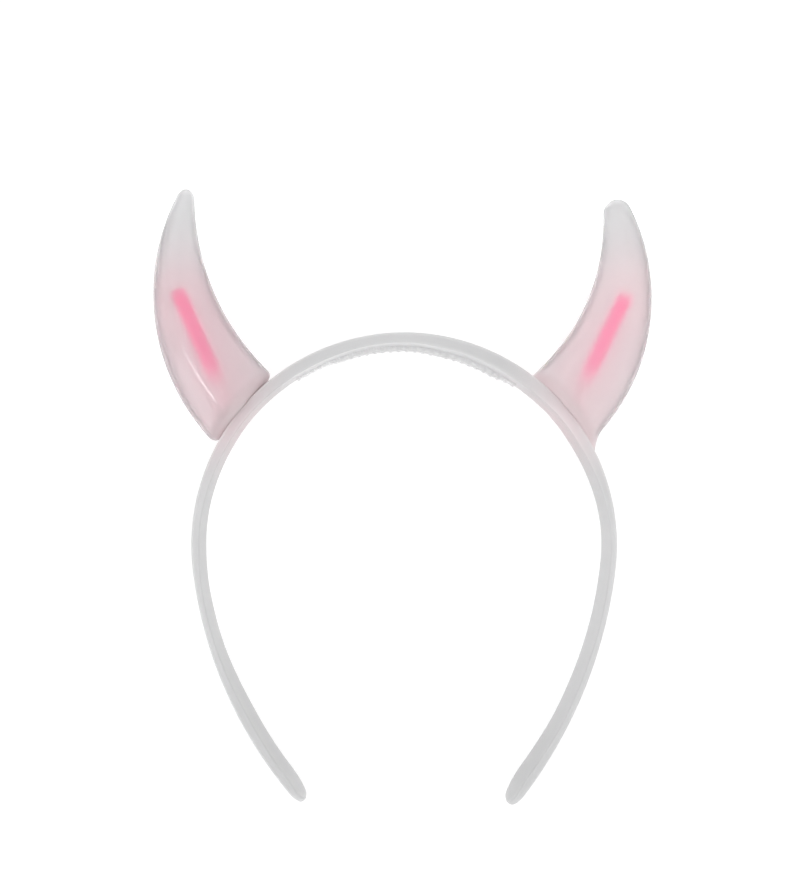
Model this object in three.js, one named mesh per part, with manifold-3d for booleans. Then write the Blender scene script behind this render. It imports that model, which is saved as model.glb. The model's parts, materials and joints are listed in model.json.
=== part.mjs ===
// Light-up horn headband: a moulded C-shaped band with comb teeth inside its crown, two hollow curved horns
// pushed over cups on the band, and a pink glow stick standing in each cup. Millimetres, lying on its back.
import * as THREE from 'three';
import { mergeVertices } from 'three/addons/utils/BufferGeometryUtils.js';
import Module from 'manifold-3d';

const wasm = await Module();
wasm.setup();

const { degToRad, lerp, smoothstep } = THREE.MathUtils;

const GAP = 0.3; // clearance between neighbouring pieces
const WELD = 1e-4; // points nearer than this are one point

// The band lies in its own plane: x across, y towards the crown, z to the front, with the origin at the
// crown's centre. Distances along the band are measured on its outer face, from the top of the crown.
const CROWN_RADIUS = 62.6; // outer face
const CROWN_SWEEP = degToRad(97); // from the top of the crown to where each arm straightens out
const ARM_LENGTH = 77.8;
const BAND_WIDTH = 14; // front edge to rear edge
const BAND_EDGE = 0.7; // rounding of the four long edges
const EDGE_STEPS = 2; // flats in each rounding
const EDGE_SHARE = 0.8; // the rounding takes at most this share of half the thickness or width
const END_LENGTH = 6; // stretch over which an arm's width closes to its rounded end
const END_NOSE = 1.3; // stretch over which its thickness closes
const END_CAP = 0.08; // the last section sits this far from the very end
const CROWN_THICKNESS = 3.2; // at the top of the crown
const CROWN_STATIONS = 62;
const ARM_STATIONS = 13;
const END_STATIONS = 5;

// A row of comb teeth, joined by a low web, stands on the inner face of the crown, in the rear half of the
// width. It dies away towards both ends. Its distances run to the right along the inner face, from the top of
// the crown, and a tooth stands proud of the web.
const TOOTH_COUNT = 29;
const TOOTH_PITCH = 2.5;
const TOOTH = { thick: 1, length: 5, proud: 0.2 };
const WEB_LENGTH = 5.4;
const WEB_HEIGHT = [
  { along: -34, value: 0.4 },
  { along: -25, value: 0.6 },
  { along: -19, value: 1.2 },
  { along: 0, value: 1.4 },
  { along: 28, value: 1.4 },
  { along: 37, value: 0.3 },
];
const COMB_MIDDLE = -3.5; // front to back
const COMB_ASIDE = 1.2; // place of the middle tooth
const ROOT = 0.5; // how far the comb or a cup runs into the band that it is moulded on

// The horns sit on the outer face. In a horn's seat u runs along the band, away from the crown, and v runs
// out of the band.
const SEAT_ANGLE = degToRad(50); // from the top of the crown
const SEAT_RADIUS = CROWN_RADIUS + GAP;
const HORN_WALL = 1;
const HORN_SIDES = 24;
const HORN_SECTIONS = 13;
const HORN_BUNCHING = 1.4; // sections lie closer together towards the foot
const FOOT_DEPTH = 0.52; // front-to-back size over edge-to-edge size at the foot, as deep as the band
const DEPTH_CURVE = 2.2; // how soon a horn deepens above its foot, to a round section at the tip
const FOOT_FRONT = 0.4; // rounding of the lower rim at the front and back
const FLOOR_RINGS = [0.35, 0.7]; // sizes of the rings that shape the floor, as shares of its rim
const RIM_STEPS = 3;
const TIP_STEPS = 4;
const TIP_TURN = degToRad(21); // by each step over the rounded tip, which ends in a small flat
const SADDLE_FADE = 0.4; // share of the horn over which the foot's curve round the band dies out
const FLARE_FADE = 0.075; // the same for a foot that spreads on to the band

// Each side's arm, horn and stick. outer and inner are the arcs of the horn's two edges, up to the angle end,
// where the rounded tip starts; tip is its length, foot the rounding of the lower rim, flare how far the foot
// spreads away from the crown, and saddle the share of the band's curve that the foot follows. cupAngle is
// how far from the top of the crown the stick's axis leaves the band.
const SIDES = [
  {
    name: 'left',
    sign: -1,
    armRadius: 126,
    thickness: [
      { along: 0, value: CROWN_THICKNESS },
      { along: 32, value: 3.6 },
      { along: 62, value: 3.2 },
      { along: 98, value: 2.5 },
      { along: 114, value: 2 },
      { along: 126, value: 2 },
      { along: 154, value: 2.7 },
      { along: 174, value: 2.5 },
      { along: 183, value: 1.9 },
    ],
    outer: { u: -50.5, v: -6.6, radius: 64.4, end: degToRad(76.8) },
    inner: { u: -86.4, v: -3.7, radius: 73.2, end: degToRad(49) },
    tip: 2.8,
    foot: 2.8,
    flare: 0,
    saddle: 0.35,
    cupAngle: degToRad(53.8),
    stickLean: degToRad(23.5),
    stickLift: 2.8,
  },
  {
    name: 'right',
    sign: 1,
    armRadius: 137,
    thickness: [
      { along: 0, value: CROWN_THICKNESS },
      { along: 15, value: 3.8 },
      { along: 36, value: 4.2 },
      { along: 60, value: 3.6 },
      { along: 100, value: 1.9 },
      { along: 120, value: 1.8 },
      { along: 150, value: 2 },
      { along: 174, value: 2.5 },
      { along: 183, value: 1.9 },
    ],
    outer: { u: -47.7, v: -5.4, radius: 61, end: degToRad(76.5) },
    inner: { u: -74.5, v: -1.2, radius: 60.95, end: degToRad(52.2) },
    tip: 3.2,
    foot: 0.6,
    flare: 4,
    saddle: 1,
    cupAngle: degToRad(52.4),
    stickLean: degToRad(24.7),
    stickLift: 1.1,
  },
];

// Glow sticks and the cups that hold them. A stick leans away from the crown and a little to the front.
const STICK = { radius: 2.25, length: 39.5, rounding: 1.1, forward: degToRad(5), sides: 16 };
const STICK_END_STEPS = 3;
const CUP = { wall: 1.2, height: 4.5, floor: 0.3, sides: 20 };
const TRIMMER_SIDES = 64; // of the round form that a cup's foot is trimmed to
const BORE = STICK.radius + GAP;
const CUP_RADIUS = BORE + CUP.wall;

// The object lies with the backs of the horns and the rear edges of the arm ends on the ground.
const REST_SPAN = 130; // about how far apart those are
const REST_TRIES = 4;

const FINISH = {
  band: { color: 0xd6d5d6, roughness: 0.3, metalness: 0 },
  horn: { color: 0xe3d8da, roughness: 0.25, metalness: 0 },
  stick: { color: 0xf56f98, roughness: 0.3, metalness: 0 },
};

/** Eases between the rows of a table, by their along column. */
function fromTable(table, along) {
  let k = 1;
  while (k < table.length - 1 && table[k].along < along) k += 1;
  const [a, b] = [table[k - 1], table[k]];
  return lerp(a.value, b.value, smoothstep(along, a.along, b.along));
}

/** A closed skin through rings of points, with both ends capped, turned so that its faces point out. */
function loft(rings) {
  const sides = rings[0].length;
  const middle = (ring) => ring.reduce((sum, p) => sum.add(p), new THREE.Vector3()).divideScalar(sides);
  const points = [...rings.flat(), middle(rings[0]), middle(rings.at(-1))];
  const [first, last] = [points.length - 2, points.length - 1];
  const end = (rings.length - 1) * sides;
  const index = [];
  for (let j = 0; j < sides; j += 1) {
    const next = (j + 1) % sides;
    index.push(first, next, j, last, end + j, end + next);
    for (let k = 0; k < rings.length - 1; k += 1) {
      const a = k * sides;
      const b = a + sides;
      index.push(a + j, a + next, b + next, a + j, b + next, b + j);
    }
  }
  let volume = 0;
  for (let k = 0; k < index.length; k += 3) {
    const [p, q, r] = [points[index[k]], points[index[k + 1]], points[index[k + 2]]];
    volume += p.dot(new THREE.Vector3().crossVectors(q, r));
  }
  if (volume < 0) index.reverse();
  return new THREE.BufferGeometry().setFromPoints(points).setIndex(index);
}

/** The solid of a closed geometry, for joining and cutting. */
function toSolid(geometry) {
  const bare = geometry.clone();
  bare.deleteAttribute('normal');
  bare.deleteAttribute('uv');
  const merged = mergeVertices(bare, WELD);
  const corners = merged.index.array;
  const triangles = [];
  for (let k = 0; k < corners.length; k += 3) {
    const [a, b, c] = corners.slice(k, k + 3);
    if (a !== b && b !== c && c !== a) triangles.push(a, b, c);
  }
  const mesh = new wasm.Mesh({
    numProp: 3,
    vertProperties: new Float32Array(merged.attributes.position.array),
    triVerts: new Uint32Array(triangles),
  });
  return new wasm.Manifold(mesh);
}

/** The geometry of a solid. */
function toGeometry(solid) {
  const { vertProperties, triVerts } = solid.getMesh();
  const geometry = new THREE.BufferGeometry();
  geometry.setAttribute('position', new THREE.BufferAttribute(vertProperties, 3));
  geometry.setIndex(new THREE.BufferAttribute(triVerts, 1));
  geometry.computeVertexNormals();
  return geometry;
}

/** A named piece with its own material. */
function piece(name, solid, finish) {
  const mesh = new THREE.Mesh(toGeometry(solid), new THREE.MeshStandardMaterial(finish));
  mesh.name = name;
  return mesh;
}

const CROWN_LENGTH = CROWN_RADIUS * CROWN_SWEEP;
const HALF_LENGTH = CROWN_LENGTH + ARM_LENGTH;

/** A point of one side's outer face, with the direction out of the band there. */
function outerFace(side, along) {
  const onArm = Math.max(along - CROWN_LENGTH, 0) / side.armRadius;
  const angle = Math.min(along, CROWN_LENGTH) / CROWN_RADIUS + onArm;
  const out = new THREE.Vector3(side.sign * Math.sin(angle), Math.cos(angle), 0);
  const point = out.clone().multiplyScalar(onArm > 0 ? side.armRadius : CROWN_RADIUS);
  if (onArm > 0) {
    const shift = CROWN_RADIUS - side.armRadius;
    point.x += side.sign * shift * Math.sin(CROWN_SWEEP);
    point.y += shift * Math.cos(CROWN_SWEEP);
  }
  return { point, out };
}

/** The band's section, a rectangle with rounded edges, at a distance along one side. */
function bandSection(side, along) {
  const { point, out } = outerFace(side, along);
  const fromEnd = HALF_LENGTH - along;
  const closing = (length) => Math.sqrt(1 - Math.max(1 - fromEnd / length, 0) ** 2);
  const full = fromTable(side.thickness, along);
  const half = (full * closing(END_NOSE)) / 2;
  const halfWidth = (BAND_WIDTH * closing(END_LENGTH)) / 2;
  const edge = Math.min(BAND_EDGE, EDGE_SHARE * half, EDGE_SHARE * halfWidth);
  const ring = [];
  for (let corner = 0; corner < 4; corner += 1) {
    for (let step = 0; step <= EDGE_STEPS; step += 1) {
      const turn = ((corner + step / EDGE_STEPS) * Math.PI) / 2;
      const rise = (corner === 0 || corner === 3 ? 1 : -1) * (half - edge) + edge * Math.cos(turn);
      const z = (corner < 2 ? 1 : -1) * (halfWidth - edge) + edge * Math.sin(turn);
      const at = point.clone().addScaledVector(out, rise - full / 2);
      ring.push(at.setZ(z));
    }
  }
  return ring;
}

/** Distances along one side where the band has a section, from the crown's top facet to the end. */
function bandStations() {
  const crownStep = (2 * CROWN_LENGTH) / (CROWN_STATIONS - 1);
  const stations = [];
  for (let k = 0; k < CROWN_STATIONS / 2; k += 1) {
    stations.push((k + 0.5) * crownStep);
  }
  const straight = ARM_LENGTH - END_LENGTH;
  for (let k = 1; k <= ARM_STATIONS; k += 1) {
    stations.push(CROWN_LENGTH + (straight * k) / ARM_STATIONS);
  }
  for (let k = 1; k <= END_STATIONS; k += 1) {
    const share = Math.sin((k / END_STATIONS) * (Math.PI / 2));
    stations.push(HALF_LENGTH - END_LENGTH + (END_LENGTH - END_CAP) * share);
  }
  return stations;
}

/**
 * A tooth's angle from the top of the crown, to the right, with the radius of the band's inner face and the
 * height of the web there.
 */
function toothPlace(number) {
  const along = (number - (TOOTH_COUNT - 1) / 2) * TOOTH_PITCH + COMB_ASIDE;
  const angle = along / (CROWN_RADIUS - CROWN_THICKNESS);
  const [left, right] = SIDES;
  const { thickness } = angle < 0 ? left : right;
  const face = CROWN_RADIUS - fromTable(thickness, Math.abs(angle) * CROWN_RADIUS);
  return { angle, face, web: fromTable(WEB_HEIGHT, along) };
}

/** One comb tooth: a short bar that points at the head. */
function tooth(number) {
  const { angle, face, web } = toothPlace(number);
  const height = ROOT + web + TOOTH.proud;
  return new THREE.BoxGeometry(TOOTH.thick, height, TOOTH.length)
    .translate(0, face + ROOT - height / 2, COMB_MIDDLE)
    .rotateZ(-angle);
}

/** The low web that joins the teeth, with a section in each of them. */
function combWeb() {
  const rings = [];
  for (let number = 0; number < TOOTH_COUNT; number += 1) {
    const { angle, face, web } = toothPlace(number);
    const out = new THREE.Vector3(Math.sin(angle), Math.cos(angle), 0);
    const corner = (radius, z) => out.clone().multiplyScalar(radius).setZ(z);
    const [top, bottom] = [face + ROOT, face - web];
    const [front, rear] = [COMB_MIDDLE + WEB_LENGTH / 2, COMB_MIDDLE - WEB_LENGTH / 2];
    rings.push([corner(top, front), corner(top, rear), corner(bottom, rear), corner(bottom, front)]);
  }
  return loft(rings);
}

/** Sets a shape turned about +Y on the axis of a side's stick, with its zero on the band's outer face. */
function ontoStickAxis(geometry, side) {
  const axis = new THREE.Vector3(side.sign * Math.sin(side.stickLean), Math.cos(side.stickLean), 0)
    .multiplyScalar(Math.cos(STICK.forward))
    .setZ(Math.sin(STICK.forward));
  const { point } = outerFace(side, side.cupAngle * CROWN_RADIUS);
  const turn = new THREE.Quaternion().setFromUnitVectors(new THREE.Vector3(0, 1, 0), axis);
  return geometry.applyQuaternion(turn).translate(point.x, point.y, point.z);
}

/** The cup that holds a stick, with its foot run into the band and trimmed to the band's curve. */
function cup(side) {
  const sink = 2 * ROOT + CUP_RADIUS * Math.tan(side.cupAngle - side.stickLean);
  const profile = [
    { radius: 0, height: -sink },
    { radius: CUP_RADIUS, height: -sink },
    { radius: CUP_RADIUS, height: CUP.height },
    { radius: BORE, height: CUP.height },
    { radius: BORE, height: CUP.floor },
    { radius: 0, height: CUP.floor },
  ].map(({ radius, height }) => new THREE.Vector2(radius, height));
  const inside = CROWN_RADIUS - ROOT;
  const trimmer = new THREE.CylinderGeometry(inside, inside, BAND_WIDTH, TRIMMER_SIDES).rotateX(Math.PI / 2);
  const bar = ontoStickAxis(new THREE.LatheGeometry(profile, CUP.sides), side);
  return toSolid(bar).subtract(toSolid(trimmer));
}

/** The whole band as it is moulded: crown and arms, the comb and the two cups. */
function headband() {
  const [left, right] = SIDES;
  const stations = bandStations();
  const rings = [
    ...stations.toReversed().map((along) => bandSection(left, along)),
    ...stations.map((along) => bandSection(right, along)),
  ];
  const teeth = Array.from({ length: TOOTH_COUNT }, (_, number) => tooth(number));
  const solids = [...[loft(rings), combWeb(), ...teeth].map(toSolid), ...SIDES.map(cup)];
  return piece('headband', wasm.Manifold.union(solids), FINISH.band);
}

/**
 * One section of a horn's skin: an ellipse across the horn from its inner to its outer edge. inset moves the
 * edges inwards and frontInset the front and back, scale shrinks the section about its middle, and beyond
 * moves it on past the arcs' ends.
 */
function hornRing(side, { along, inset, frontInset = inset, scale = 1, beyond = 0 }) {
  const edge = (arc, inwards) => {
    const angle = lerp(Math.asin(-arc.v / arc.radius), arc.end, along);
    const reach = new THREE.Vector2(Math.cos(angle), Math.sin(angle));
    const bare = reach.clone().multiplyScalar(arc.radius).add(new THREE.Vector2(arc.u, arc.v));
    return { bare, set: bare.clone().addScaledVector(reach, inwards * inset) };
  };
  const outer = edge(side.outer, -1);
  const inner = edge(side.inner, 1);
  const middle = outer.set.clone().add(inner.set).divideScalar(2);
  const half = outer.set.clone().sub(inner.set).divideScalar(2);
  middle.addScaledVector(new THREE.Vector2(-half.y, half.x).normalize(), beyond);
  half.multiplyScalar(scale);
  const depthShare = 1 - (1 - FOOT_DEPTH) * (1 - along) ** DEPTH_CURVE;
  const depth = (depthShare * outer.bare.distanceTo(inner.bare)) / 2 - frontInset;
  const saddle = side.saddle * (1 - smoothstep(along, 0, SADDLE_FADE));
  const flare = side.flare * (1 - Math.min(along / FLARE_FADE, 1)) ** 2;
  const [sin, cos] = [Math.sin(SEAT_ANGLE), Math.cos(SEAT_ANGLE)];
  const ring = [];
  for (let j = 0; j < HORN_SIDES; j += 1) {
    const angle = (j / HORN_SIDES) * 2 * Math.PI;
    const spread = scale * flare * Math.max(Math.cos(angle), 0) ** 2;
    const u = middle.x + half.x * Math.cos(angle) + spread;
    const drop = SEAT_RADIUS - Math.sqrt(SEAT_RADIUS ** 2 - Math.min(Math.abs(u), SEAT_RADIUS / 2) ** 2);
    const v = middle.y + half.y * Math.cos(angle) - saddle * drop + SEAT_RADIUS;
    const z = scale * depth * Math.sin(angle);
    ring.push(new THREE.Vector3(side.sign * (u * cos + v * sin), v * cos - u * sin, z));
  }
  return ring;
}

/** A horn's skin from its floor to its tip, set inwards by inset, with its lower rim rounded. */
function hornSkin(side, inset, floor) {
  const edgeLength = (side.outer.radius * side.outer.end + side.inner.radius * side.inner.end) / 2;
  const low = floor / edgeLength;
  const high = low + side.foot / edgeLength;
  const curled = (curl) => ({ inset: inset + side.foot * curl, frontInset: inset + FOOT_FRONT * curl });
  const sections = FLOOR_RINGS.map((scale) => ({ along: low, ...curled(1), scale }));
  for (let k = 0; k <= RIM_STEPS; k += 1) {
    const turn = ((k / RIM_STEPS) * Math.PI) / 2;
    sections.push({ along: lerp(low, high, 1 - Math.cos(turn)), ...curled(1 - Math.sin(turn)) });
  }
  for (let k = 1; k <= HORN_SECTIONS; k += 1) {
    sections.push({ along: lerp(high, 1, (k / HORN_SECTIONS) ** HORN_BUNCHING), inset });
  }
  for (let k = 1; k <= TIP_STEPS; k += 1) {
    const turn = TIP_TURN * k;
    const beyond = (side.tip - inset) * Math.sin(turn);
    sections.push({ along: 1, inset, scale: Math.cos(turn), beyond });
  }
  return toSolid(loft(sections.map((section) => hornRing(side, section))));
}

/** A hollow horn with a hole through its floor for the cup. */
function horn(side) {
  const reach = CUP.height + GAP;
  const hole = new THREE.CylinderGeometry(CUP_RADIUS + GAP, CUP_RADIUS + GAP, 2 * reach, CUP.sides);
  const shell = hornSkin(side, 0, 0)
    .subtract(hornSkin(side, HORN_WALL, HORN_WALL))
    .subtract(toSolid(ontoStickAxis(hole, side)));
  return piece(`horn_${side.name}`, shell, FINISH.horn);
}

/** A plain round stick with rounded ends, standing in its cup. */
function glowStick(side) {
  const { radius, length, rounding } = STICK;
  const ends = [
    { middle: rounding, start: -Math.PI / 2 },
    { middle: length - rounding, start: 0 },
  ];
  const profile = [new THREE.Vector2(0, 0)];
  for (const { middle, start } of ends) {
    for (let k = 0; k <= STICK_END_STEPS; k += 1) {
      const turn = start + ((k / STICK_END_STEPS) * Math.PI) / 2;
      const r = radius - rounding + rounding * Math.cos(turn);
      profile.push(new THREE.Vector2(r, middle + rounding * Math.sin(turn)));
    }
  }
  profile.push(new THREE.Vector2(0, length));
  const shape = new THREE.LatheGeometry(profile, STICK.sides).translate(0, side.stickLift, 0);
  return piece(`glow_stick_${side.name}`, toSolid(ontoStickAxis(shape, side)), FINISH.stick);
}

/** Leans the object back until it rests on the backs of the horns and the rear edges of the arm ends. */
function layDown(object) {
  const lowest = (test) => {
    const box = new THREE.Box3();
    object.children.filter((mesh) => test(mesh.name)).forEach((mesh) => box.expandByObject(mesh, true));
    return box.min.z;
  };
  for (let k = 0; k < REST_TRIES; k += 1) {
    object.updateMatrixWorld(true);
    const rise = lowest((name) => name.startsWith('horn')) - lowest((name) => name === 'headband');
    object.rotation.x -= Math.atan(rise / REST_SPAN);
  }
  const box = new THREE.Box3().setFromObject(object, true);
  const middle = box.getCenter(new THREE.Vector3());
  object.position.set(-middle.x, -middle.y, -box.min.z);
  return object;
}

const lightUpHeadband = new THREE.Group();
lightUpHeadband.add(headband(), ...SIDES.map(horn), ...SIDES.map(glowStick));

export default layDown(lightUpHeadband);
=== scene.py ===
"""Looks of a light-up horn headband: milky plastic band and horns, a pink glow stick inside each horn."""

import json

import bpy
import numpy as np
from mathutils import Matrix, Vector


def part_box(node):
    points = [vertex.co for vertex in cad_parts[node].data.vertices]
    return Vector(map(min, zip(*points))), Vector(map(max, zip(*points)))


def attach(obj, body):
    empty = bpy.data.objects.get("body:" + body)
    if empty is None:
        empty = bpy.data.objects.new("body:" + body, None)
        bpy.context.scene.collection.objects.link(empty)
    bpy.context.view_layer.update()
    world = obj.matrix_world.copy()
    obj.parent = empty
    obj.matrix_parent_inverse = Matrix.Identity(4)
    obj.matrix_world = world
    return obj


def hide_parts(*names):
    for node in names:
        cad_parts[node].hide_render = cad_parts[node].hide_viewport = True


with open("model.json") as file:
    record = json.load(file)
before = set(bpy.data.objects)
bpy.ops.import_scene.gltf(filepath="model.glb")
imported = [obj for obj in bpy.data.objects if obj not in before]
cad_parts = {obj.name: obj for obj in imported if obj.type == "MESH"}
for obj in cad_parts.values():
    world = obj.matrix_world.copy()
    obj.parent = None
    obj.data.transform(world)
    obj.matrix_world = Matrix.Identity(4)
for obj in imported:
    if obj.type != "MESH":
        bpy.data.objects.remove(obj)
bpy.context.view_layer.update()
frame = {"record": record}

# How the headband lies
# It lies on its back. Its own plane has x across, y towards the crown and z out of the front, with the origin
# at the crown's centre, and leans back a little because the horns are deeper than the band.
CROWN_RADIUS = 0.0626  # outer face of the band
BAND_WIDTH = 0.0140  # front edge to rear edge

crown_seat = next(mount for mount in frame["record"]["mounts"] if mount["name"] == "crown_seat")
lean = np.arctan2(-crown_seat["axis"][2], -crown_seat["axis"][1])
lean_turn = np.array([[1, 0, 0], [0, np.cos(lean), -np.sin(lean)], [0, np.sin(lean), np.cos(lean)]])
band_low, band_high = (np.array(corner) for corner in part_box("headband"))
crown_rear = lean_turn @ [0, CROWN_RADIUS, -BAND_WIDTH / 2]
crown_front = lean_turn @ [0, CROWN_RADIUS, BAND_WIDTH / 2]
crown_centre = np.array(
    [(band_low[0] + band_high[0]) / 2, band_high[1] - crown_rear[1], band_high[2] - crown_front[2]]
)


def lay_down(points):
    """Points of the band's own plane, turned by the lean and moved to where the crown's centre lies."""
    return points @ lean_turn.T + crown_centre


# Camera
# Square over the band, about a third of a metre above it and a little to the left of the object's middle,
# with the picture shifted to the right to frame the whole headband.
PHOTO_HEIGHT = 895  # pixels
PIXEL = 0.0003  # size of a pixel at the band
CAMERA_ABOVE = 0.320
CAMERA_OVER = (-0.00905, 0.0287)  # point of the band's plane under the camera
FRAMED_ASIDE = 0.0080  # the picture's middle lies this far to the right of that point
CLOSEST_SEEN = 0.01

camera_data = bpy.data.cameras.new("camera")
camera_data.lens = camera_data.sensor_width * CAMERA_ABOVE / (PHOTO_HEIGHT * PIXEL)
camera_data.shift_x = FRAMED_ASIDE / (PHOTO_HEIGHT * PIXEL)
camera_data.clip_start = CLOSEST_SEEN
camera = bpy.data.objects.new("camera", camera_data)
camera_place = np.eye(4)
camera_place[:3, :3] = lean_turn
camera_place[:3, 3] = lay_down(np.array([*CAMERA_OVER, CAMERA_ABOVE]))
camera.matrix_world = camera_place.T
bpy.context.scene.collection.objects.link(camera)
bpy.context.scene.camera = camera
bpy.context.scene.view_settings.view_transform = "Standard"

# Ground and light
# A plain pale ground sheet, lit from below, in a white room, so that the light is soft and from all round.
# Two panels on the left, a narrow bright one and a broad dim one, draw the highlights on the glossy plastic.
GROUND_SIDE = 8.0
GROUND_BELOW = 0.0001
GROUND_WHITE = 0.40
GROUND_LIT = 0.74  # light of the sheet's own, from the lamps under it
GROUND_ROUGHNESS = 0.9
GROUND_SPECULAR = 0.1
ROOM = {"colour": (1.0, 1.0, 1.0, 1.0), "strength": 0.87}
PANELS = {  # the two ends of a panel's middle line, its width and its brightness
    "strip": {"ends": [(-0.52, -0.045, 0.60), (-0.26, -0.245, 0.70)], "width": 0.045, "radiance": 10},
    "softbox": {"ends": [(-0.54, -0.250, 0.12), (-0.38, -0.163, 0.47)], "width": 0.24, "radiance": 1.6},
}
PANEL_AIM = np.array([-0.05, 0.03, 0.01])

half_side = GROUND_SIDE / 2
ground_corners = half_side * np.array([[-1, -1, 0], [1, -1, 0], [1, 1, 0], [-1, 1, 0]])
ground_mesh = bpy.data.meshes.new("ground")
ground_mesh.from_pydata((ground_corners - [0, 0, GROUND_BELOW]).tolist(), [], [(0, 1, 2, 3)])
ground = bpy.data.objects.new("ground", ground_mesh)
bpy.context.scene.collection.objects.link(ground)
ground_paper = bpy.data.materials.new("ground_paper")
ground_paper.use_nodes = True
paper_shader = ground_paper.node_tree.nodes["Principled BSDF"]
paper_shader.inputs["Base Color"].default_value = (GROUND_WHITE, GROUND_WHITE, GROUND_WHITE, 1)
paper_shader.inputs["Roughness"].default_value = GROUND_ROUGHNESS
paper_shader.inputs["Specular IOR Level"].default_value = GROUND_SPECULAR
paper_shader.inputs["Emission Color"].default_value = (1, 1, 1, 1)
paper_shader.inputs["Emission Strength"].default_value = GROUND_LIT
ground_mesh.materials.append(ground_paper)

room = bpy.data.worlds.new("room")
room.use_nodes = True
room.node_tree.nodes["Background"].inputs["Color"].default_value = ROOM["colour"]
room.node_tree.nodes["Background"].inputs["Strength"].default_value = ROOM["strength"]
bpy.context.scene.world = room

for panel_name, panel in PANELS.items():
    first_end, last_end = np.array(panel["ends"])
    length = np.linalg.norm(last_end - first_end)
    middle = (first_end + last_end) / 2
    light = bpy.data.lights.new(panel_name, "AREA")
    light.shape = "RECTANGLE"
    light.size, light.size_y = length, panel["width"]
    light.energy = panel["radiance"] * np.pi * length * panel["width"]
    lamp = bpy.data.objects.new(panel_name, light)
    lamp.visible_diffuse = False
    lamp.visible_transmission = False
    lengthwise = (last_end - first_end) / length
    crosswise = np.cross(middle - PANEL_AIM, lengthwise)
    crosswise /= np.linalg.norm(crosswise)
    lamp_place = np.eye(4)
    lamp_place[:3, :3] = np.stack([lengthwise, crosswise, np.cross(lengthwise, crosswise)], -1)
    lamp_place[:3, 3] = middle
    lamp.matrix_world = lamp_place.T
    bpy.context.scene.collection.objects.link(lamp)

# Headband
# One moulding in milky, slightly springy plastic: a band with rounded edges, bent into a C, thicker at the
# crown, with rounded arm ends, a row of comb teeth inside the crown and a short cup under each horn.
CROWN_SWEEP = np.radians(97)  # from the top of the crown to where each arm straightens out
CROWN_LENGTH = CROWN_RADIUS * CROWN_SWEEP
ARM_LENGTH = 0.0778
ARM_RADIUS = {"left": 0.126, "right": 0.137}
HALF_LENGTH = CROWN_LENGTH + ARM_LENGTH
BAND_EDGE = 0.0007  # rounding of the four long edges
EDGE_SHARE = 0.8  # the rounding takes at most this share of half the thickness or width
END_LENGTH = 0.0060  # stretch over which an arm's width closes to its rounded end
END_NOSE = 0.0013  # stretch over which its thickness closes
END_CAP = 0.00002  # the last section sits this far from the very end
END_START = 0.08  # the first section of that stretch, as a share of the turn of its rounding
END_SECTIONS = 22
CORNER_STEPS = 7  # points on each rounded edge of a section
FACE_STEPS = 9  # points across each plain face of a section
CROWN_THICKNESS = 0.0032  # at the top of the crown
THICKNESS = {  # distance from the top of the crown, thickness there
    "left": [
        (0.000, CROWN_THICKNESS),
        (0.032, 0.0036),
        (0.062, 0.0032),
        (0.098, 0.0025),
        (0.114, 0.0020),
        (0.126, 0.0020),
        (0.154, 0.0027),
        (0.174, 0.0025),
        (0.183, 0.0019),
    ],
    "right": [
        (0.000, CROWN_THICKNESS),
        (0.015, 0.0038),
        (0.036, 0.0042),
        (0.060, 0.0036),
        (0.100, 0.0019),
        (0.120, 0.0018),
        (0.150, 0.0020),
        (0.174, 0.0025),
        (0.183, 0.0019),
    ],
}
STATION_STEP = 0.0010

TOOTH_COUNT = 29
TOOTH_PITCH = 0.0025  # the comb's places are measured along the inner face
COMB_ASIDE = 0.0012  # the row's middle lies this far to the right of the crown's top
OUTER_SHARE = CROWN_RADIUS / (CROWN_RADIUS - CROWN_THICKNESS)  # a length on the outer face over the inner one
TOOTH_HALF = 0.0005  # half a tooth's thickness
TOOTH_PROUD = 0.0002  # a tooth stands this far out of the web that joins the row
COMB_HEIGHT = [  # distance from the top of the crown, to the right, and height of the web there
    (-0.034, 0.0004),
    (-0.025, 0.0006),
    (-0.019, 0.0012),
    (0.000, 0.0014),
    (0.028, 0.0014),
    (0.037, 0.0003),
]
TALLEST_TOOTH = TOOTH_PROUD + max(height for _, height in COMB_HEIGHT)
TOOTH_FRONT, TOOTH_REAR = -0.0008, -0.0062
WEB_SET_BACK = 0.00025  # from the teeth's front and rear ends
TOOTH_EDGE = 0.00018  # rounding of a tooth's edges
TOOTH_FOOT = 0.00006  # run of its steep sides
TOOTH_ROUNDING = TOOTH_EDGE * np.array([1, 0.5, 0.15])  # places on that rounding, in from the tooth's side
TOOTH_REACH = 0.85  # a tooth's own sections reach this share of the way to the middle of the next gap
COLUMNS_AHEAD = [0.9, 0.6, 0.3, 0.0]  # columns in front of the comb, as shares of the half width
COLUMNS_UNDER = [-0.4, -0.6, -0.8]  # columns under the comb


def eased(place, table):
    """Values from a table of places and values, with a smooth step from each to the next."""
    at, values = np.array(table).T
    k = np.clip(np.searchsorted(at, place) - 1, 0, len(at) - 2)
    share = np.clip((place - at[k]) / (at[k + 1] - at[k]), 0, 1)
    return values[k] + (values[k + 1] - values[k]) * share**2 * (3 - 2 * share)


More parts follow.
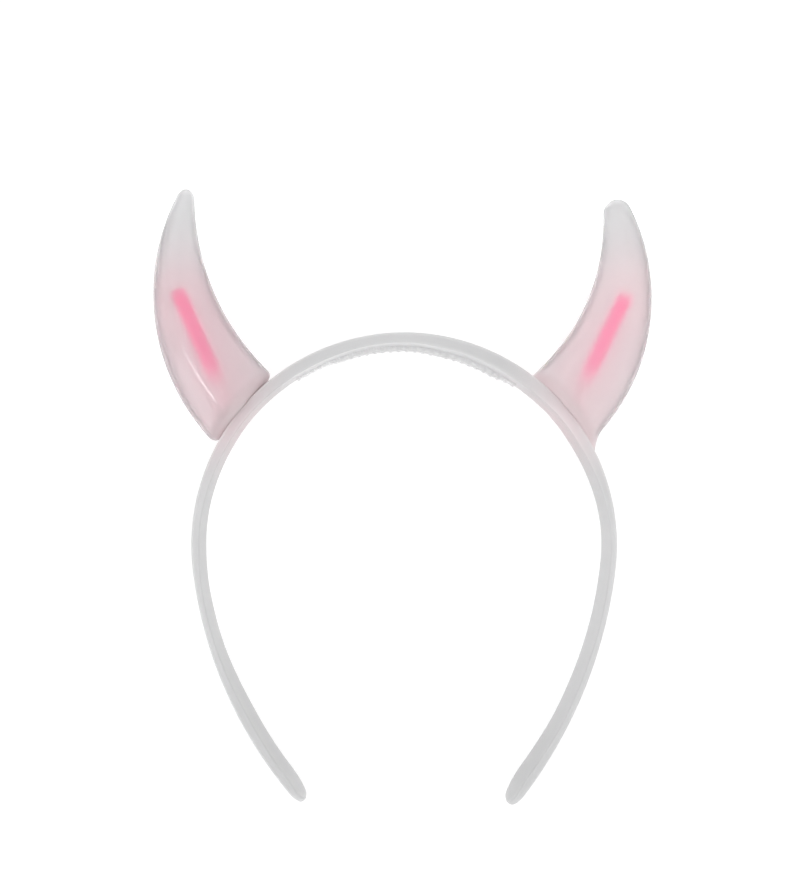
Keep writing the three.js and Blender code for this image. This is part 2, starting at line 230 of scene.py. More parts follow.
def band_line(along):
    """Outer face of the band: a circle for the crown, and on each side beyond it a wider arc for the arm.

    along is measured on the face from the top of the crown, and is negative on the left.
    """
    side = np.where(along < 0, -1, 1)
    arm_radius = np.where(along < 0, ARM_RADIUS["left"], ARM_RADIUS["right"])
    on_arm = np.maximum(np.abs(along) - CROWN_LENGTH, 0)
    angle = np.minimum(np.abs(along), CROWN_LENGTH) / CROWN_RADIUS + on_arm / arm_radius
    out = np.stack([side * np.sin(angle), np.cos(angle), 0 * angle], -1)
    start = np.stack([side * np.sin(CROWN_SWEEP), np.cos(CROWN_SWEEP) + 0 * angle, 0 * angle], -1)
    radius = np.where(on_arm > 0, arm_radius, CROWN_RADIUS)[:, None]
    return radius * out + (CROWN_RADIUS - radius) * start, out


def band_thickness(along):
    """Thickness of the band, eased through the table of the side that a place along it lies on."""
    left, right = (eased(np.abs(along), THICKNESS[side]) for side in ("left", "right"))
    return np.where(along < 0, left, right)


def tooth_profile(distance, half):
    """Height of a bar's profile, from 1 over its middle to 0 beside it: flat, rounded, then steep."""
    edge_drop = TOOTH_EDGE / TALLEST_TOOTH
    inside = np.clip((distance - half + TOOTH_EDGE) / TOOTH_EDGE, 0, 1)
    rounded = 1 - edge_drop * (1 - np.sqrt(1 - inside**2))
    return rounded * np.clip(1 - (distance - half) / TOOTH_FOOT, 0, 1)


def band_stations():
    """Places along the band with a section: even steps, closer at each tooth's edges and at the arm ends."""
    tooth_places = (np.arange(TOOTH_COUNT) - (TOOTH_COUNT - 1) / 2) * TOOTH_PITCH + COMB_ASIDE
    beside_tooth = [TOOTH_HALF, TOOTH_HALF + TOOTH_FOOT, TOOTH_REACH * TOOTH_PITCH / 2]
    half_tooth = np.concatenate([TOOTH_HALF - TOOTH_ROUNDING, beside_tooth])
    teeth = OUTER_SHARE * (tooth_places[:, None] + np.concatenate([-half_tooth, [0], half_tooth])).ravel()
    reach = HALF_LENGTH - END_LENGTH
    plain = np.linspace(-reach, reach, int(2 * reach / STATION_STEP))
    plain = plain[(plain < teeth.min() - STATION_STEP / 2) | (plain > teeth.max() + STATION_STEP / 2)]
    turn = np.linspace(END_START, 1, END_SECTIONS) * np.pi / 2
    closing = reach + (END_LENGTH - END_CAP) * np.sin(turn)
    return np.sort(np.concatenate([teeth, plain, closing, -closing]))


def band_columns():
    """Walk round the band's section: a corner that steps round a unit square, and the rounding's turn there.

    The inner face has extra columns at the teeth's ends. Returns the corner's thickness and width shares and
    the turn.
    """
    quarter = np.linspace(0, np.pi / 2, CORNER_STEPS)
    face = np.linspace(1, -1, FACE_STEPS)[1:-1]
    flat = BAND_WIDTH / 2 - BAND_EDGE
    steps = np.concatenate([[-TOOTH_FOOT, 0], TOOTH_ROUNDING[::-1]])
    steps = np.sort(np.concatenate([steps, WEB_SET_BACK + steps]))
    front_end, rear_end = TOOTH_FRONT - steps, TOOTH_REAR + steps[::-1]
    tooth_face = np.concatenate([COLUMNS_AHEAD, front_end / flat, COLUMNS_UNDER, rear_end / flat])
    ones, none = np.ones_like, np.zeros_like
    walk = [
        (ones(quarter), ones(quarter), quarter),
        (face, ones(face), none(face) + np.pi / 2),
        (-ones(quarter), ones(quarter), quarter + np.pi / 2),
        (-ones(tooth_face), tooth_face, none(tooth_face) + np.pi),
        (-ones(quarter), -ones(quarter), quarter + np.pi),
        (-face, -ones(face), none(face) + 1.5 * np.pi),
        (ones(quarter), -ones(quarter), quarter + 1.5 * np.pi),
        (ones(face), -face, none(face)),
    ]
    return (np.concatenate(part) for part in zip(*walk))


def band_rings():
    """Sections of the band along its line: a rounded rectangle, with the comb raised on its inner face.

    Near an arm's end the width and then the thickness close as the side of an ellipse does. The comb's height
    is the larger of the teeth's and the web's, each a profile along the band times a profile across it.
    """
    along = band_stations()
    corner_rise, corner_width, turn = band_columns()
    line, out = band_line(along)
    from_end = HALF_LENGTH - np.abs(along)
    width_share = np.sqrt(1 - np.maximum(1 - from_end / END_LENGTH, 0) ** 2)
    nose_share = np.sqrt(1 - np.maximum(1 - from_end / END_NOSE, 0) ** 2)
    thickness = band_thickness(along)[:, None]
    half = thickness * nose_share[:, None] / 2
    half_width = BAND_WIDTH * width_share[:, None] / 2
    edge = np.minimum(BAND_EDGE, EDGE_SHARE * np.minimum(half, half_width))
    rise = corner_rise * (half - edge) + edge * np.cos(turn) - thickness / 2
    z = corner_width * (half_width - edge) + edge * np.sin(turn)
    on_inner = along / OUTER_SHARE
    in_row = on_inner - COMB_ASIDE
    nearest = np.round(in_row / TOOTH_PITCH) * TOOTH_PITCH
    row_half = (TOOTH_COUNT - 1) * TOOTH_PITCH / 2 + TOOTH_HALF
    on_tooth = tooth_profile(np.abs(in_row - nearest), TOOTH_HALF) * (np.abs(nearest) < row_half)
    on_web = tooth_profile(np.abs(in_row), row_half)
    web_height = eased(on_inner, COMB_HEIGHT)[:, None]
    from_middle = np.abs(z - (TOOTH_FRONT + TOOTH_REAR) / 2)
    tooth_reach = (TOOTH_FRONT - TOOTH_REAR) / 2
    teeth = (web_height + TOOTH_PROUD) * on_tooth[:, None] * tooth_profile(from_middle, tooth_reach)
    web = web_height * on_web[:, None] * tooth_profile(from_middle, tooth_reach - WEB_SET_BACK)
    on_inner_face = np.isclose(turn, np.pi) & (np.abs(corner_width) < 1)
    rise = rise - np.maximum(teeth, web) * on_inner_face
    points = line[:, None] + out[:, None] * rise[..., None]
    points[..., 2] = z
    return points


def closed_skin(rings):
    """Faces over rings of points: each ring joined to the next and round on itself, each end closed by a fan.

    Returns the points, with the middles of the end rings last, the four-sided faces and the fans' triangles,
    all turned outwards.
    """
    rows, columns = rings.shape[:2]
    points = np.concatenate([rings.reshape(-1, 3), rings[[0, -1]].mean(1)])
    column = np.arange(columns)
    following = np.roll(column, -1)
    row = np.arange(rows - 1)[:, None] * columns
    quads = np.stack([row + column, row + following, row + columns + following, row + columns + column], -1)
    quads = quads.reshape(-1, 4)
    last_row = (rows - 1) * columns
    first_fan = np.stack([following, column, 0 * column + rows * columns], -1)
    last_fan = np.stack([last_row + column, last_row + following, 0 * column + rows * columns + 1], -1)
    fans = np.concatenate([first_fan, last_fan])
    a, b, c = points[np.concatenate([quads[:, [0, 1, 2]], quads[:, [0, 2, 3]], fans]).T]
    volume = np.einsum("ij,ij->", a, np.cross(b, c))
    if volume < 0:
        quads, fans = quads[:, ::-1], fans[:, ::-1]
    return points, quads, fans


def piece_from_skins(name, skins):
    """One smooth-shaded object, at the origin, from one or more closed skins."""
    all_points, faces, count = [], [], 0
    for points, quads, fans in skins:
        faces += (quads + count).tolist() + (fans + count).tolist()
        all_points.append(points)
        count += len(points)
    mesh = bpy.data.meshes.new(name)
    mesh.from_pydata(lay_down(np.concatenate(all_points)).tolist(), [], faces)
    mesh.shade_smooth()
    mesh.update()
    piece = bpy.data.objects.new(name, mesh)
    bpy.context.scene.collection.objects.link(piece)
    return piece


SIDE_SIGN = {"left": -1, "right": 1}
STICK_RADIUS = 0.00225
STICK_LENGTH = 0.0395
STICK_FORWARD = np.radians(5)  # a stick leans a little to the front
STICK_LEAN = {"left": np.radians(23.5), "right": np.radians(24.7)}  # away from the crown
CUP_ANGLE = {"left": np.radians(53.8), "right": np.radians(52.4)}  # from the top of the crown
CUP_WALL = 0.0012
CUP_HEIGHT = 0.0045
CUP_FLOOR = 0.0003
CUP_RIM = 0.0004
RIM_STEPS = 6
ROUND_SIDES = 64
PIECE_GAP = 0.0003  # clearance between neighbouring pieces
BORE = STICK_RADIUS + PIECE_GAP
CUP_RADIUS = BORE + CUP_WALL
CUP_CENTRE = 0.1  # innermost ring of the cup's foot and floor, as a share of their radius
ROOT = 0.0005  # how far a cup runs into the band


def stick_directions(tilt, sign=1):
    """Three directions of a stick that tilts to one side and leans forward: along it and two across it."""
    flat = np.array([sign * np.sin(tilt), np.cos(tilt), 0])
    front = np.array([0, 0, 1])
    along = np.cos(STICK_FORWARD) * flat + np.sin(STICK_FORWARD) * front
    across = np.array([sign * np.cos(tilt), -np.sin(tilt), 0])
    return along, across, np.cos(STICK_FORWARD) * front - np.sin(STICK_FORWARD) * flat


def stick_axis(side):
    """Start of a side's stick axis on the band's outer face, and the stick's three directions."""
    sign = SIDE_SIGN[side]
    start = CROWN_RADIUS * np.array([sign * np.sin(CUP_ANGLE[side]), np.cos(CUP_ANGLE[side]), 0])
    return start, *stick_directions(STICK_LEAN[side], sign)


def turned(side, radius, height):
    """Rings of a shape turned about a side's stick axis, from a profile of radii and heights."""
    start, along, across, up = stick_axis(side)
    around = np.linspace(0, 2 * np.pi, ROUND_SIDES, endpoint=False)
    spoke = np.cos(around)[:, None] * across + np.sin(around)[:, None] * up
    return start + height[:, None, None] * along + radius[:, None, None] * spoke


def cup_rings(side):
    """A cup on the stick axis: straight walls, a rounded rim and a flat floor, its foot just inside the band.

    The foot's points slide along the axis on to a circle about the crown's centre, a little inside the band's
    face.
    """
    quarter = np.linspace(0, np.pi / 2, RIM_STEPS)
    outer_rim = CUP_RADIUS - CUP_RIM * (1 - np.cos(quarter)), CUP_HEIGHT - CUP_RIM * (1 - np.sin(quarter))
    inner_rim = BORE + CUP_RIM * (1 - np.sin(quarter)), CUP_HEIGHT - CUP_RIM * (1 - np.cos(quarter))
    underside, floor = [CUP_CENTRE * CUP_RADIUS, CUP_RADIUS], [BORE, CUP_CENTRE * BORE]
    radius = np.concatenate([underside, outer_rim[0], inner_rim[0], floor])
    height = np.concatenate([[0, 0], outer_rim[1], inner_rim[1], [CUP_FLOOR, CUP_FLOOR]])
    rings = turned(side, radius, height)
    _, along, _, _ = stick_axis(side)
    foot, slope = rings[:2, :, :2], along[:2]
    steep, half_run = slope @ slope, foot @ slope
    short = (foot**2).sum(-1) - (CROWN_RADIUS - ROOT) ** 2
    slide = (np.sqrt(half_run**2 - steep * short) - half_run) / steep
    rings[:2] += slide[..., None] * along
    return rings


headband = piece_from_skins(
    "headband_moulding",
    [closed_skin(band_rings()), closed_skin(cup_rings("left")), closed_skin(cup_rings("right"))],
)

GLOW_REACH = 0.013  # how far the sticks' pink light spreads in the plastic, painted into its colour and shine
ARM_TONE = [(-0.070, 0.93), (0.030, 1.0)]  # place along the arms, towards the crown, and brightness there
INNER_PAINTED_SHADE = [(0.030, 0.84), (0.056, 0.92)]  # the same for the inner face's painted shade, as a share of it
FACING_IN = [(0.3, 0), (0.8, 1)]  # from faces that look out of the front to those that look at the head
COMB_PAINTED_LIGHT = [  # height above the inner face, and brightness of the painted light there
    (-0.0004, 1.00),
    (-0.0001, 1.22),
    (0.0002, 1.36),
    (0.0010, 1.30),
    (0.0017, 1.10),
]
COMB_REACH = [(0.044, 0), (0.052, 1)]  # from the sides of the crown to the comb
SEAT_PAINTED_LIGHT = {"left": 1.0, "right": 1.25}  # painted light on the band under the horns, as a brightness


def own_points(piece):
    """A piece's points in the band's own plane: the laying down taken back."""
    place = np.empty(3 * len(piece.data.vertices))
    piece.data.vertices.foreach_get("co", place)
    return (place.reshape(-1, 3) - crown_centre) @ lean_turn


def keep_value(piece, name, values):
    """Keeps a value for each point, which the piece's material reads by its name."""
    piece.data.attributes.new(name, "FLOAT", "POINT").data.foreach_set("value", values)


def painted_pink_glow(piece):
    """Gives each point its painted glow: for each stick a bell curve of the distance from its middle line,
    added up.
    """
    place = own_points(piece)
    glow = np.zeros(len(place))
    for side in SIDE_SIGN:
        start, along, _, _ = stick_axis(side)
        height = np.clip((place - start) @ along, 0, STICK_LENGTH)
        distance = np.linalg.norm(place - start - height[:, None] * along, axis=1)
        glow += np.exp(-((distance / GLOW_REACH) ** 2))
    keep_value(piece, "glow", glow)


def band_painted_light_and_tone(piece):
    """Gives each point a brightness: the arms darker towards their ends, the inner face with painted shade.

    A point is on the inner face when its normal points to the middle of the head space. Painted light lifts
    the comb, most at its root, for light through it from behind, and the band under the right horn.
    """
    normal = np.empty(3 * len(piece.data.vertices))
    glow = np.empty(len(piece.data.vertices))
    piece.data.vertices.foreach_get("normal", normal)
    piece.data.attributes["glow"].data.foreach_get("value", glow)
    x, y, _ = own_points(piece).T
    across, towards, _ = (normal.reshape(-1, 3) @ lean_turn).T
    up = np.maximum(y, 0)
    inner = eased(-(x * across + up * towards) / np.hypot(x, up), FACING_IN)
    thickness = band_thickness(np.arctan2(x, y) * CROWN_RADIUS)
    comb_light = eased(CROWN_RADIUS - np.hypot(x, y) - thickness, COMB_PAINTED_LIGHT)
    seat_light = np.where(x < 0, SEAT_PAINTED_LIGHT["left"], SEAT_PAINTED_LIGHT["right"])
    # the arms darker towards their ends, and painted shade on the inner face
    tone = eased(y, ARM_TONE) * (1 + inner * (eased(y, INNER_PAINTED_SHADE) - 1))
    # painted light: the comb lighter, most at its root, and the band under the right horn
    tone *= 1 + eased(y, COMB_REACH) * (comb_light - 1)
    tone *= 1 + glow * (1 - inner) * (seat_light - 1)
    keep_value(piece, "tone", tone)


CLOUD_DETAIL, SKIN_DETAIL = 3, 2
BLUR_SPREAD = 0.04  # how far the blur varies over the skin
SKIN_DEPTH = 0.0001
GLOSS_BLUR = 0.06
BAND_FINISH = {
    "cloud_scale": 45,
    "cloud_depth": 0.02,
    "skin_scale": 700,
    "skin_bump": 0.05,
    "blur": 0.45,
    "clear": 0.15,
    "ior": 1.40,
    "scatter": 1.0,
    "scatter_depth": 0.006,
    "gloss": 0.2,
}
BAND_MILK = (0.70, 0.70, 0.705)
# painted light: the band's colour turns to this pink near the sticks, standing for their light in it
BAND_GLOW_PINK = (0.72, 0.60, 0.62)
# painted light: the band glows faintly pink near the sticks, though it is no lamp
BAND_PAINTED_GLOW = {"colour": (1.0, 0.76, 0.80), "strength": 0.09}


def noise(material, scale, detail):
    """Soft noise from 0 to 1 in the piece's own coordinates."""
    nodes, links = material.node_tree.nodes, material.node_tree.links
    place = nodes.new("ShaderNodeTexCoord")
    texture = nodes.new("ShaderNodeTexNoise")
    texture.inputs["Scale"].default_value = scale
    texture.inputs["Detail"].default_value = detail
    links.new(place.outputs["Object"], texture.inputs["Vector"])
    return texture.outputs["Fac"]


def point_value(material, name):
    """The value that each point of a piece keeps under a name."""
    reader = material.node_tree.nodes.new("ShaderNodeAttribute")
    reader.attribute_name = name
    return reader.outputs["Fac"]


def ranged(material, value, low, high):
    """A value from 0 to 1, spread evenly from low to high."""
    spread = material.node_tree.nodes.new("ShaderNodeMapRange")
    spread.inputs["To Min"].default_value = low
    spread.inputs["To Max"].default_value = high
    material.node_tree.links.new(value, spread.inputs["Value"])
    return spread.outputs["Result"]


def mixed(material, share, first, second):
    """A colour that goes from a first one, plain or worked out before, to a second as a share rises."""
    mix = material.node_tree.nodes.new("ShaderNodeMix")
    mix.data_type = "RGBA"
    material.node_tree.links.new(share, mix.inputs["Factor"])
    if isinstance(first, tuple):
        mix.inputs["A"].default_value = (*first, 1)
    else:
        material.node_tree.links.new(first, mix.inputs["A"])
    mix.inputs["B"].default_value = (*second, 1)
    return mix.outputs["Result"]


def scaled(material, colour, value):
    """A colour times a value."""
    product = material.node_tree.nodes.new("ShaderNodeVectorMath")
    product.operation = "SCALE"
    material.node_tree.links.new(colour, product.inputs[0])
    material.node_tree.links.new(value, product.inputs["Scale"])
    return product.outputs["Vector"]


def milky_plastic(name, milk, pink, finish):
    """Milky plastic: cloudy milk colour painted pink with the sticks' light, see-through with a blur, under a
    gloss.

    Large soft noise makes the clouds, fine noise the uneven skin of a moulding.
    """
    material = bpy.data.materials.new(name)
    material.use_nodes = True
    nodes, links = material.node_tree.nodes, material.node_tree.links
    shader = nodes["Principled BSDF"]
    clouds = noise(material, finish["cloud_scale"], CLOUD_DETAIL)
    cloudiness = ranged(material, clouds, 1 - finish["cloud_depth"], 1 + finish["cloud_depth"])
    tint = mixed(material, point_value(material, "glow"), milk, pink)
    links.new(scaled(material, tint, cloudiness), shader.inputs["Base Color"])
    skin = noise(material, finish["skin_scale"], SKIN_DETAIL)
    blur = ranged(material, skin, finish["blur"] - BLUR_SPREAD, finish["blur"] + BLUR_SPREAD)
    links.new(blur, shader.inputs["Roughness"])
    bump = nodes.new("ShaderNodeBump")
    bump.inputs["Strength"].default_value = finish["skin_bump"]
    bump.inputs["Distance"].default_value = SKIN_DEPTH
    links.new(skin, bump.inputs["Height"])
    links.new(bump.outputs["Normal"], shader.inputs["Normal"])
    links.new(bump.outputs["Normal"], shader.inputs["Coat Normal"])
    shader.inputs["Transmission Weight"].default_value = finish["clear"]
    shader.inputs["IOR"].default_value = finish["ior"]
    shader.inputs["Subsurface Weight"].default_value = finish["scatter"]
    shader.inputs["Subsurface Radius"].default_value = (1.0, 1.0, 1.0)
    shader.inputs["Subsurface Scale"].default_value = finish["scatter_depth"]
    shader.inputs["Coat Weight"].default_value = finish["gloss"]
    shader.inputs["Coat Roughness"].default_value = GLOSS_BLUR
    return material


def painted_glow_from_within(material, value_name, colour, strength):
    """Painted light for the light that the sticks send through the plastic: a glow of a colour, as strong as
    the points' value says.
    """
    shader = material.node_tree.nodes["Principled BSDF"]
    shine = ranged(material, point_value(material, value_name), 0, strength)
    material.node_tree.links.new(shine, shader.inputs["Emission Strength"])
    shader.inputs["Emission Color"].default_value = (*colour, 1)


def tone_over(material):
    """Scales the plastic's colour by the brightness of each point."""
    colour = material.node_tree.nodes["Principled BSDF"].inputs["Base Color"]
    toned = scaled(material, colour.links[0].from_socket, point_value(material, "tone"))
    material.node_tree.links.new(toned, colour)


band_plastic = milky_plastic("milky_band", BAND_MILK, BAND_GLOW_PINK, BAND_FINISH)
tone_over(band_plastic)
painted_glow_from_within(band_plastic, "glow", **BAND_PAINTED_GLOW)
painted_pink_glow(headband)
band_painted_light_and_tone(headband)
headband.data.materials.append(band_plastic)
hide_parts("headband")
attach(headband, "root")

# Horns
# Two hollow curved horns in thin milky plastic, closed at the tip, each pushed over its cup. The floor
# follows the band; the left foot is rounded all round and the right one spreads on to the band on its lower
# side.
SEAT_ANGLE = np.radians(50)  # from the top of the crown; u runs along the band there, v out of it
SEAT_GAP = 0.00003
SEAT_RADIUS = CROWN_RADIUS + SEAT_GAP
HORN_WALL = 0.0010
FOOT_DEPTH = 0.52  # depth over width at the foot, where the horn is as deep as the band; 1 at the tip
DEPTH_CURVE = 2.2  # how soon the horn deepens above its foot
FOOT_FRONT = 0.0002  # rounding of the foot's rim at the front and back
SADDLE_FADE = 0.4  # share of the horn over which the foot's curve round the band dies out
EDGE_HUGGED = 0.97  # share of the band's rounded edge that the foot follows
FLARE_FADE = 0.075  # share of the horn over which a foot that spreads on to the band narrows
TIP_START = np.radians(19)  # slope of the sides where the rounded tip starts
TIP_END = np.radians(89)  # slope at its last ring, just short of the very end
HORN_SIDES = 112
TIP_ROWS = 14
WALL_ROWS = {"outside": 110, "inside": 70}
ROW_CROWDING = 1.3  # above 1, the wall's rows stand closer towards the foot
FOOT_ROWS = 10
FLOOR_ROWS = 9
HOLE_SLIDES = 6  # steps in which the hole's rim settles on to the floor
HORNS = {
    "left": {
        "outer": {"centre": (-0.0505, -0.0066), "radius": 0.0644, "end": np.radians(76.8)},
        "inner": {"centre": (-0.0864, -0.0037), "radius": 0.0732, "end": np.radians(49.0)},
        "tip": 0.0028,
        "foot": 0.0028,
        "flare": 0.0,
        "saddle": 0.35,
    },
    "right": {
        "outer": {"centre": (-0.0477, -0.0054), "radius": 0.0610, "end": np.radians(76.5)},
        "inner": {"centre": (-0.0745, -0.0012), "radius": 0.06095, "end": np.radians(52.2)},
        "tip": 0.0032,
        "foot": 0.0006,
        "flare": 0.0040,
        "saddle": 1.0,
    },
}
horn_around = np.linspace(0, 2 * np.pi, HORN_SIDES, endpoint=False)


def seat_drop(u, z, saddle):
    """How far the seat falls away at a place on it: a share of the band's curve, and its rounded edges."""
    reach = SEAT_RADIUS / 2
    curve = SEAT_RADIUS - np.sqrt(SEAT_RADIUS**2 - np.clip(u, -reach, reach) ** 2)
    past_flat = np.clip(np.abs(z) - (BAND_WIDTH / 2 - BAND_EDGE), 0, EDGE_HUGGED * BAND_EDGE)
    return saddle * curve + BAND_EDGE - np.sqrt(BAND_EDGE**2 - past_flat**2)


def horn_edge(arc, along, inset):
    """Point of an edge arc at a share of its way, before and after it is set inwards or outwards."""
    start = np.arcsin(-arc["centre"][1] / arc["radius"])
    angle = start + (arc["end"] - start) * along
    reach = np.stack([np.cos(angle), np.sin(angle)], -1)
    bare = np.array(arc["centre"]) + arc["radius"] * reach
    return bare, bare + inset[:, None] * reach


def horn_sections(horn, along, inset, front_inset, scale=1.0, beyond=0.0):
    """Sections of a horn's skin in its seat's u, v and z: ellipses from its inner edge arc to its outer one.

    Their depth is a share of their width that rises from foot to tip as a power curve. inset moves the edges
    inwards and front_inset the front and back, scale shrinks a section about its middle and beyond moves it
    on past the arcs' ends. Near the foot the sections bend down round the band, by the saddle, and spread
    outwards, by the flare.
    """
    given = (along, inset, front_inset, scale, beyond)
    along, inset, front_inset, scale, beyond = np.broadcast_arrays(*map(np.atleast_1d, given))
    outer_bare, outer = horn_edge(horn["outer"], along, -inset)
    inner_bare, inner = horn_edge(horn["inner"], along, inset)
    half = (outer - inner) / 2
    ahead = np.stack([-half[:, 1], half[:, 0]], -1) / np.linalg.norm(half, axis=1)[:, None]
    middle = (outer + inner) / 2 + beyond[:, None] * ahead
    depth_share = 1 - (1 - FOOT_DEPTH) * (1 - along) ** DEPTH_CURVE
    half_depth = depth_share * np.linalg.norm(outer_bare - inner_bare, axis=1) / 2 - front_inset
    seated = 1 - eased(along, [(0, 0), (SADDLE_FADE, 1)])[:, None]
    flare = horn["flare"] * (1 - np.clip(along / FLARE_FADE, 0, 1)) ** 2
    swing = scale[:, None] * np.cos(horn_around)
    spread = (scale * flare)[:, None] * np.clip(np.cos(horn_around), 0, 1) ** 2
    u = middle[:, :1] + half[:, :1] * swing + spread
    z = (scale * half_depth)[:, None] * np.sin(horn_around)
    v = middle[:, 1:] + half[:, 1:] * swing - seated * seat_drop(u, z, horn["saddle"])
    return np.stack([u, v, z], -1)


def skin_rows(horn, inset, floor, rows):
    """Rows of a horn's skin from its rounded tip to its floor's rim, set in by inset and raised by floor."""
    length = sum(horn[edge]["radius"] * horn[edge]["end"] for edge in ("outer", "inner")) / 2
    low = floor / length
    high = low + horn["foot"] / length
    turn = np.linspace(TIP_END, TIP_START, TIP_ROWS)
    rise = (np.sin(turn) - np.sin(TIP_START)) / (1 - np.sin(TIP_START))
    shrink = np.cos(turn) / np.cos(TIP_START)
    tip = horn_sections(horn, 1.0, inset, inset, shrink, (horn["tip"] - inset) * rise)
    climb = np.linspace(1, 0, rows)[1:] ** ROW_CROWDING
    wall = horn_sections(horn, high + (1 - high) * climb, inset, inset)
    turn = np.linspace(0, np.pi / 2, FOOT_ROWS)[1:]
    curl = 1 - np.cos(turn)
    rim_along = high - (high - low) * np.sin(turn)
    rim = horn_sections(horn, rim_along, inset + horn["foot"] * curl, inset + FOOT_FRONT * curl)
    return np.concatenate([tip, wall, rim])


def floor_rows(side, rim, level):
    """Rows of a horn's floor from its rim in to the hole for the cup, on the floor's own curve.

    The hole is a circle about the stick axis, slid along that axis on to the floor.
    """
    saddle = HORNS[side]["saddle"]
    along, across, up = stick_directions(STICK_LEAN[side] - SEAT_ANGLE)
    place = CUP_ANGLE[side] - SEAT_ANGLE
    start = [CROWN_RADIUS * np.sin(place), CROWN_RADIUS * np.cos(place) - SEAT_RADIUS, 0]
    spoke = np.cos(horn_around)[:, None] * across + np.sin(horn_around)[:, None] * up
    hole = start + (CUP_RADIUS + PIECE_GAP) * spoke
    for _ in range(HOLE_SLIDES):
        floor = level(hole[:, 0]) - seat_drop(hole[:, 0], hole[:, 2], saddle)
        hole = hole + ((floor - hole[:, 1]) / along[1])[:, None] * along
    share = np.linspace(0, 1, FLOOR_ROWS)[1:, None, None]
    rows = rim + (hole - rim) * share
    rows[..., 1] = level(rows[..., 0]) - seat_drop(rows[..., 0], rows[..., 2], saddle)
    return rows


def horn_rings(side):
    """A hollow horn as one skin: down the outside, under the floor to the hole, through it, up the inside."""
    horn = HORNS[side]
    outside = skin_rows(horn, 0.0, 0.0, WALL_ROWS["outside"])
    inside = skin_rows(horn, HORN_WALL, HORN_WALL, WALL_ROWS["inside"])
    under = floor_rows(side, outside[-1], lambda u: 0 * u)
    inner_rim = inside[-1]
    flat = inner_rim[:, 1] + seat_drop(inner_rim[:, 0], inner_rim[:, 2], horn["saddle"])
    slope = np.polyfit(inner_rim[:, 0], flat, 1)
    over = floor_rows(side, inner_rim, lambda u: np.polyval(slope, u))
    seat = np.concatenate([outside, under, over[::-1], inside[::-1]])
    sin, cos = np.sin(SEAT_ANGLE), np.cos(SEAT_ANGLE)
    u, v, z = seat[..., 0], seat[..., 1] + SEAT_RADIUS, seat[..., 2]
    return np.stack([SIDE_SIGN[side] * (u * cos + v * sin), v * cos - u * sin, z], -1)


HORN_FINISH = {
    "cloud_scale": 60,
    "cloud_depth": 0.02,
    "skin_scale": 600,
    "skin_bump": 0.05,
    "blur": 0.66,
    "clear": 0.85,
    "ior": 1.22,
    "scatter": 1.0,
    "scatter_depth": 0.002,
    "gloss": 0.7,
}
HORN_MILK = (0.862, 0.862, 0.867)
# painted light: the horns' colour turns to this pink near the sticks, standing for their light in them
HORN_GLOW_PINK = {"left": (0.906, 0.778, 0.801), "right": (0.960, 0.846, 0.862)}
# solid milk of the foot, painted pink with the sticks' light
FOOT_MILK_AND_GLOW = (0.745, 0.647, 0.662)
FOOT_CLEAR = 0.1
# painted light: the foot glows faintly pink, lightening the shade where it meets the band
FOOT_PAINTED_GLOW = {"left": 0.03, "right": 0.08}
FOOT_GLOW = (1.0, 0.82, 0.85)
FOOT_CLOUD_AND_GLOW = [(0.0008, 1), (0.0050, 0)]  # height above the band's face, and how cloudy the plastic is and how much painted glow it shows there


def cloudy_glowing_foot(piece):
    """Gives each point its cloudiness and painted glow, by its height above the band's face, out from the
    crown's axis.
    """
    x, y, _ = own_points(piece).T
    keep_value(piece, "foot_cloud_and_glow", eased(np.hypot(x, y) - CROWN_RADIUS, FOOT_CLOUD_AND_GLOW))


def cloud_and_glow_over(material):
    """Where the plastic is thick, at the foot: its clearness goes and its colour turns to solid milk, painted
    pink with the sticks' light.
    """
    links = material.node_tree.links
    shader = material.node_tree.nodes["Principled BSDF"]
    colour = shader.inputs["Base Color"]
    foot_cloud_and_glow = point_value(material, "foot_cloud_and_glow")
    links.new(mixed(material, foot_cloud_and_glow, colour.links[0].from_socket, FOOT_MILK_AND_GLOW), colour)
    clearness = ranged(material, foot_cloud_and_glow, HORN_FINISH["clear"], FOOT_CLEAR)
    links.new(clearness, shader.inputs["Transmission Weight"])


for side in SIDE_SIGN:
    horn = piece_from_skins(f"horn_shell_{side}", [closed_skin(horn_rings(side))])
    horn_plastic = milky_plastic(f"milky_horn_{side}", HORN_MILK, HORN_GLOW_PINK[side], HORN_FINISH)
    cloud_and_glow_over(horn_plastic)
    painted_glow_from_within(horn_plastic, "foot_cloud_and_glow", FOOT_GLOW, FOOT_PAINTED_GLOW[side])
    painted_pink_glow(horn)
    cloudy_glowing_foot(horn)
    horn.data.materials.append(horn_plastic)
    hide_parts(f"horn_{side}")
    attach(horn, "root")

# Glow sticks
# Plain clear tubes with rounded ends, full of pink glowing liquid that looks paler towards the ends.
# Each stands loose in the cup inside its horn.
STICK_LIFT = {"left": 0.0028, "right": 0.0011}  # lower end above the band's outer face
STICK_ROUNDING = 0.0011
STICK_CENTRE = 0.05  # innermost ring of a flat end, as a share of the radius
ROUNDING_START, ROUNDING_STEPS = 0.02, 10  # first turn of a rounding, just off its flat end, and its rings
STICK_RINGS = 40
STICK_PINK = (0.92, 0.10, 0.29)
SWIRL_PINK = (0.95, 0.12, 0.34)
SWIRL_SCALE, SWIRL_DETAIL = 140, 2
STICK_PALE = (0.97, 0.84, 0.87)
STICK_PALING = {  # height above the stick's lower end, and how pale it is there
    "left": [(0.006, 1), (0.0175, 0), (0.0355, 0), (0.0450, 1)],
    "right": [(0.006, 1), (0.0175, 0), (0.0355, 0), (0.0400, 1)],
}
STICK_ROUGHNESS = 0.25
STICK_SHINE = 0.42
SHINE_PINK = (1.0, 0.20, 0.45)
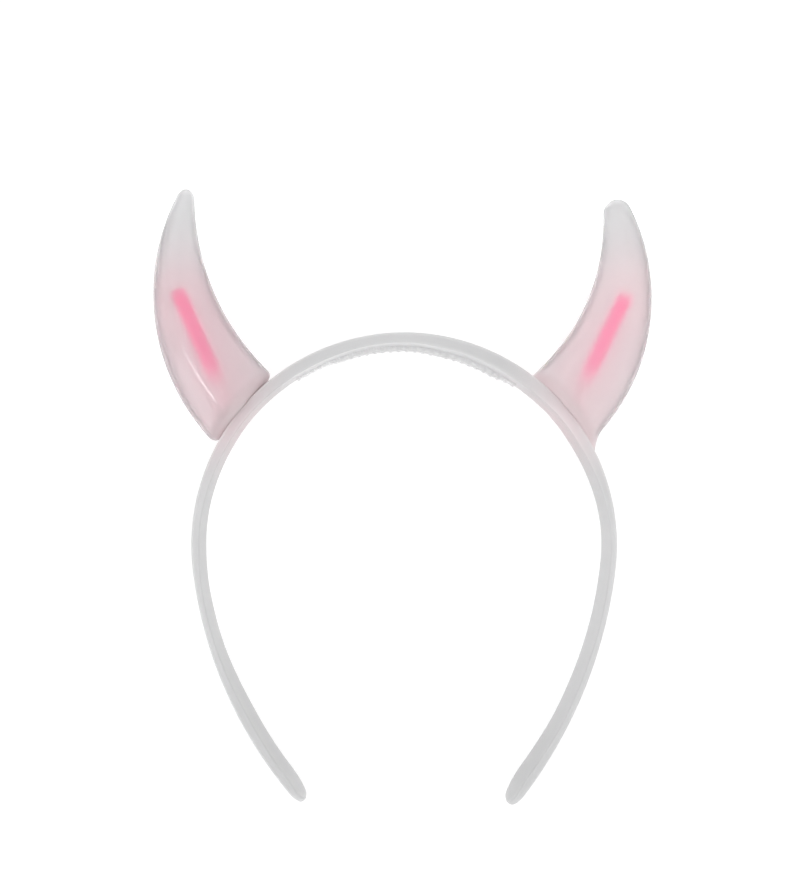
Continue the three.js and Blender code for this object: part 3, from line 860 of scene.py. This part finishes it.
SHINE_PALE = (0.45, 0.36, 0.38)


def stick_rings(side):
    """A round bar turned about the stick axis, with a quarter-circle rounding at both ends."""
    quarter = np.linspace(ROUNDING_START, np.pi / 2, ROUNDING_STEPS)
    end_radius = STICK_RADIUS - STICK_ROUNDING * (1 - np.sin(quarter))
    end_height = STICK_ROUNDING * (1 - np.cos(quarter))
    middle = np.linspace(STICK_ROUNDING, STICK_LENGTH - STICK_ROUNDING, STICK_RINGS)[1:-1]
    straight = np.full_like(middle, STICK_RADIUS)
    centre = [STICK_CENTRE * STICK_RADIUS]
    radius = np.concatenate([centre, end_radius, straight, end_radius[::-1], centre])
    height = np.concatenate([[0], end_height, middle, STICK_LENGTH - end_height[::-1], [STICK_LENGTH]])
    return turned(side, radius, height + STICK_LIFT[side])


def pale_ends(piece, side):
    """Gives each point its paleness, by its height above the stick's lower end."""
    start, along, _, _ = stick_axis(side)
    height = (own_points(piece) - start) @ along - STICK_LIFT[side]
    keep_value(piece, "paleness", eased(height, STICK_PALING[side]))


def glowing_liquid(name):
    """Pink liquid with a soft swirl of a second pink, which turns pale and shines less with the paleness."""
    material = bpy.data.materials.new(name)
    material.use_nodes = True
    links = material.node_tree.links
    shader = material.node_tree.nodes["Principled BSDF"]
    paleness = point_value(material, "paleness")
    liquid = mixed(material, noise(material, SWIRL_SCALE, SWIRL_DETAIL), STICK_PINK, SWIRL_PINK)
    links.new(mixed(material, paleness, liquid, STICK_PALE), shader.inputs["Base Color"])
    links.new(mixed(material, paleness, SHINE_PINK, SHINE_PALE), shader.inputs["Emission Color"])
    shader.inputs["Roughness"].default_value = STICK_ROUGHNESS
    shader.inputs["Emission Strength"].default_value = STICK_SHINE
    return material


glowing_pink = glowing_liquid("glowing_pink")
for side in SIDE_SIGN:
    stick = piece_from_skins(f"glow_tube_{side}", [closed_skin(stick_rings(side))])
    pale_ends(stick, side)
    stick.data.materials.append(glowing_pink)
    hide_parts(f"glow_stick_{side}")
    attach(stick, "root")
